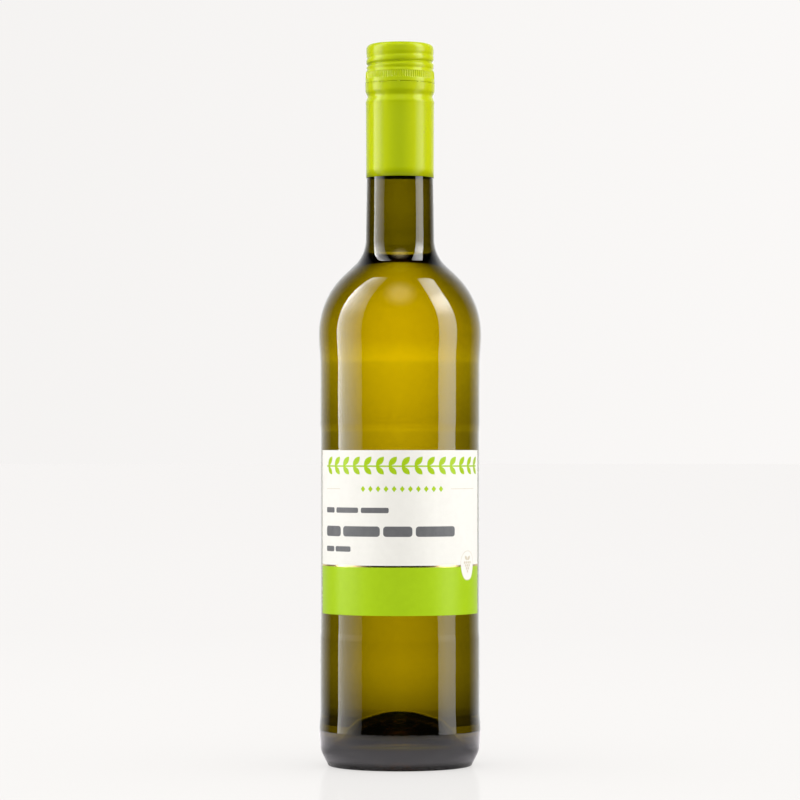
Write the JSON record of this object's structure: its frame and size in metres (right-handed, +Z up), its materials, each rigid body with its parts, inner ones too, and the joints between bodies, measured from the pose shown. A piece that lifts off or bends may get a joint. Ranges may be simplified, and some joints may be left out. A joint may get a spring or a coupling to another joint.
{
  "type": "wine bottle",
  "caption": "Full white wine bottle of olive-yellow glass with a deep punt, a rolled lime green screw cap and a two-tone wrap-round label.",
  "frame": {"origin": "centre of the ring that the bottle stands on", "axes": "+Z up along the bottle's axis; the label faces -Y"},
  "size_m": [0.0734, 0.0734, 0.326],
  "materials": {
    "olive_glass": "clear olive-yellow bottle glass, glossy",
    "white_wine": "clear pale yellow wine",
    "lime_lacquer": "lime green lacquer on rolled aluminium sheet, satin gloss",
    "label_paper": "uncoated off-white label paper with a lime green band"
  },
  "bodies": {
    "root": {"glass_bottle": "olive_glass", "wine": "white_wine", "screw_cap": "lime_lacquer", "label": "label_paper"}
  },
  "joints": []
}
